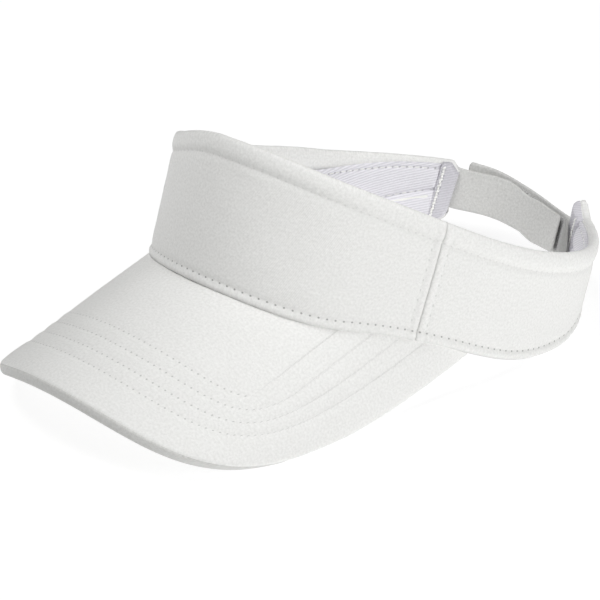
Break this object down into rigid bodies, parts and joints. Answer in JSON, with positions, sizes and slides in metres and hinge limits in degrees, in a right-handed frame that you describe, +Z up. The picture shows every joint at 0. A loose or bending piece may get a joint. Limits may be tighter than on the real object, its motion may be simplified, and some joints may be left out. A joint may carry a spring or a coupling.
{
  "type": "sun visor",
  "caption": "Open-crown fabric sun visor with an arched stiffened bill, stitched front and side panels, a padded sweatband and a hook-and-loop rear strap closure.",
  "frame": {"origin": "centre of the bounding box at its base, on the surface the visor rests on", "axes": "+Z up at rest, wearer faces -Y, wearer's left is +X; the band is pitched nose up as it rests on the bill's side edges and the band's rear"},
  "size_m": [0.157, 0.2857, 0.1114],
  "materials": {
    "cotton_twill": "brushed cotton cloth, matte",
    "sweatband_twill": "twill weave, matte",
    "thread": "spun sewing thread",
    "foam": "soft foam",
    "interlining": "fusible backing",
    "bill_board": "polyethylene sheet",
    "loop_tape": "fuzzy loop pile",
    "hook_tape": "fine hooks on a woven tape"
  },
  "bodies": {
    "visor": {"front_panel": "cotton_twill", "left_side_panel": "cotton_twill", "right_side_panel": "cotton_twill", "front_interlining": "interlining", "front_lining": "cotton_twill", "left_lining": "cotton_twill", "right_lining": "cotton_twill", "sweatband_cover": "sweatband_twill", "sweatband_foam": "foam", "bill_top_cover": "cotton_twill", "bill_board": "bill_board", "bill_under_cover": "cotton_twill", "bill_stitch_row_1": "thread", "bill_stitch_row_2": "thread", "bill_stitch_row_3": "thread", "bill_stitch_row_4": "thread", "top_edge_stitching": "thread", "bottom_edge_stitching": "thread", "left_seam_stitching_front": "thread", "left_seam_stitching_back": "thread", "right_seam_stitching_front": "thread", "right_seam_stitching_back": "thread", "left_end_stitching": "thread", "right_end_stitching": "thread", "sweatband_edge_stitching": "thread", "sweatband_middle_stitching": "thread"},
    "outer_strap": {"left_strap": "cotton_twill", "loop_tape": "loop_tape", "left_strap_stitching": "thread"},
    "inner_strap": {"right_strap": "cotton_twill", "hook_tape": "hook_tape", "right_strap_stitching": "thread"}
  },
  "joints": [
    {"name": "strap_open", "type": "hinge", "parent": "visor", "child": "outer_strap", "pos_m": [0.03801, 0.13121, 0.0199], "axis": [0, -0.3025, -0.9532], "range_deg": [0, 100]},
    {"name": "size_slide", "type": "hinge", "parent": "visor", "child": "inner_strap", "pos_m": [0, 0.04581, 0.01684], "axis": [0, 0.3025, 0.9532], "range_deg": [-3, 12]}
  ]
}
